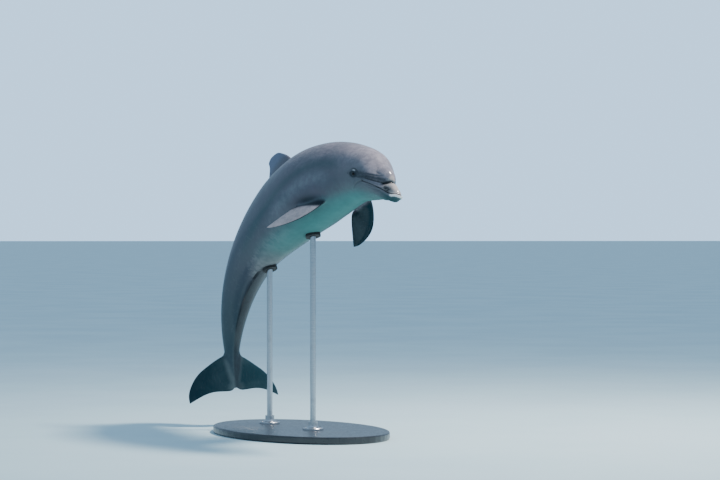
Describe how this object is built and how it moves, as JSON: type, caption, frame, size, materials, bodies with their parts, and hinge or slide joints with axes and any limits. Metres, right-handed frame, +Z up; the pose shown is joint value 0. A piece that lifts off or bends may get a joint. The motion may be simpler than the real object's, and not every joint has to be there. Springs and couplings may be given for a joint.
{
  "type": "dolphin model",
  "caption": "Life-size bottlenose dolphin held still in an arched leap, on a flat oval display base with upright rods.",
  "frame": {"origin": "centre of the stand base's underside", "axes": "+X the way the beak points, +Y to the dolphin's left, +Z up"},
  "size_m": [1.8409, 0.84, 1.6123],
  "materials": {
    "skin_back": "wet, smooth dark grey skin",
    "skin_flank": "wet, smooth mid grey skin, paler below",
    "skin_jaw": "wet, smooth pale grey skin",
    "skin_fin": "wet, smooth dark slate skin",
    "eye": "glossy dark brown",
    "stand_lacquer": "satin black lacquer",
    "stand_steel": "brushed",
    "stand_rubber": "matt"
  },
  "bodies": {
    "root": {"head": "skin_back", "lower_jaw": "skin_jaw", "eye_left": "eye", "eye_right": "eye", "neck": "skin_flank", "trunk_front": "skin_flank", "trunk_middle": "skin_flank", "trunk_rear": "skin_flank", "tail_stock_front": "skin_back", "tail_stock_rear": "skin_back", "fluke_left": "skin_fin", "fluke_right": "skin_fin", "dorsal_fin": "skin_fin", "flipper_left": "skin_fin", "flipper_right": "skin_fin", "stand_base": "stand_lacquer", "stand_flange_front": "stand_steel", "stand_flange_rear": "stand_steel", "stand_rod_front": "stand_steel", "stand_rod_rear": "stand_steel", "stand_pad_front": "stand_rubber", "stand_pad_rear": "stand_rubber"}
  },
  "joints": []
}
